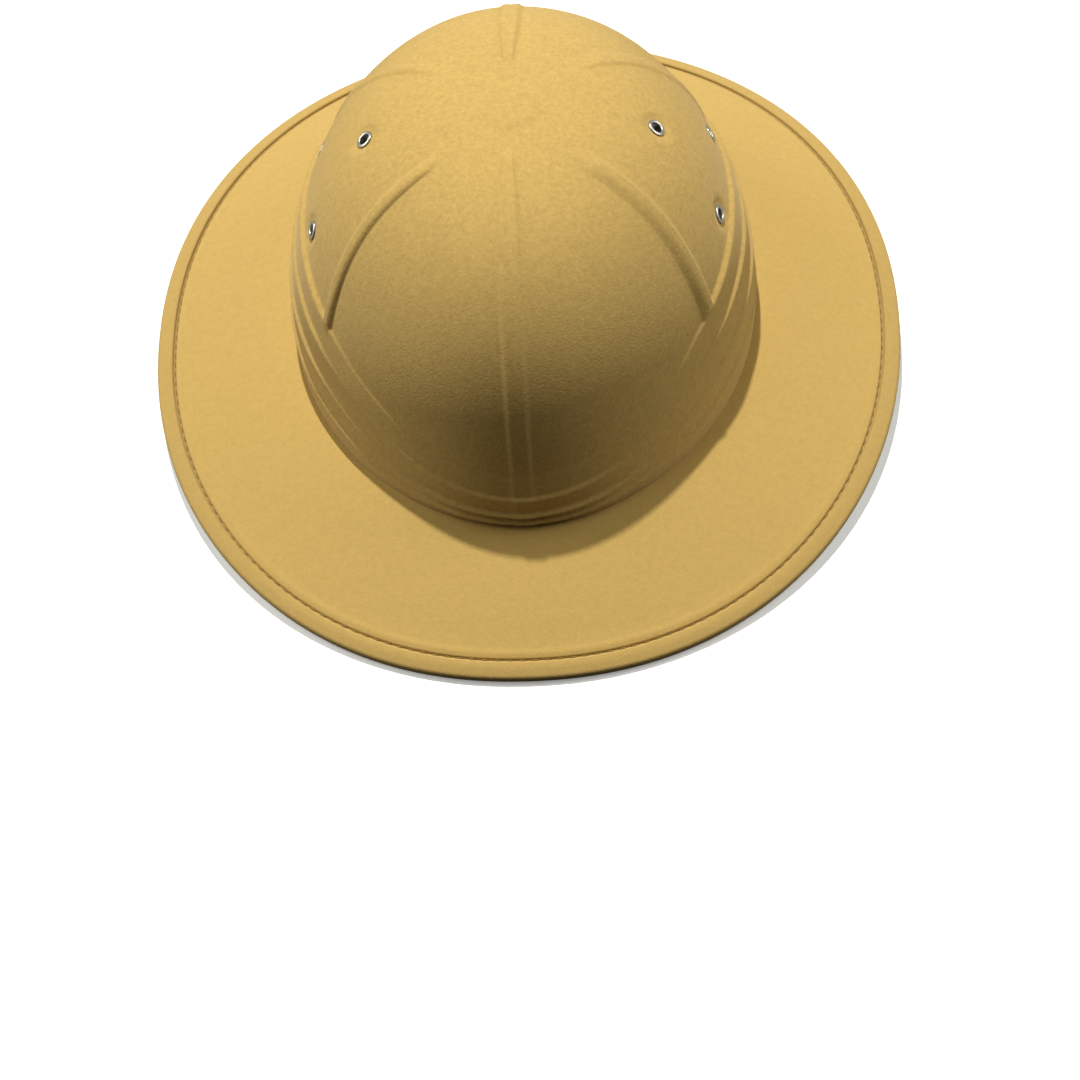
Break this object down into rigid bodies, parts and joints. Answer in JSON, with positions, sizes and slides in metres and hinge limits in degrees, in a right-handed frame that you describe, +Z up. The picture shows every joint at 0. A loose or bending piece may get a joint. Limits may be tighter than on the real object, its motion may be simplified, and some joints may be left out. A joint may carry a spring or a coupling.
{
  "type": "pith helmet",
  "caption": "Sun helmet with a moulded oval dome, a stepped band round its foot, a wide sloping brim with a bound edge, and metal vent eyelets.",
  "frame": {"origin": "middle of the helmet's outline on the surface it stands on, under the edge of its brim", "axes": "+Z up; the wearer faces -Y, so +Y is the back of the helmet and its long way; X runs across it, with +X the wearer's left"},
  "size_m": [0.2904, 0.3226, 0.1332],
  "materials": {
    "felt_cover": "matt, fine mottled felt",
    "edge_binding": "matt, same felt folded over the edge",
    "eyelet_metal": "satin nickel"
  },
  "bodies": {
    "root": {"crown": "felt_cover", "brim": "felt_cover", "brim_binding": "edge_binding", "eyelet_left_upper": "eyelet_metal", "eyelet_left_front": "eyelet_metal", "eyelet_left_rear": "eyelet_metal", "eyelet_right_upper": "eyelet_metal", "eyelet_right_front": "eyelet_metal", "eyelet_right_rear": "eyelet_metal"}
  },
  "joints": []
}
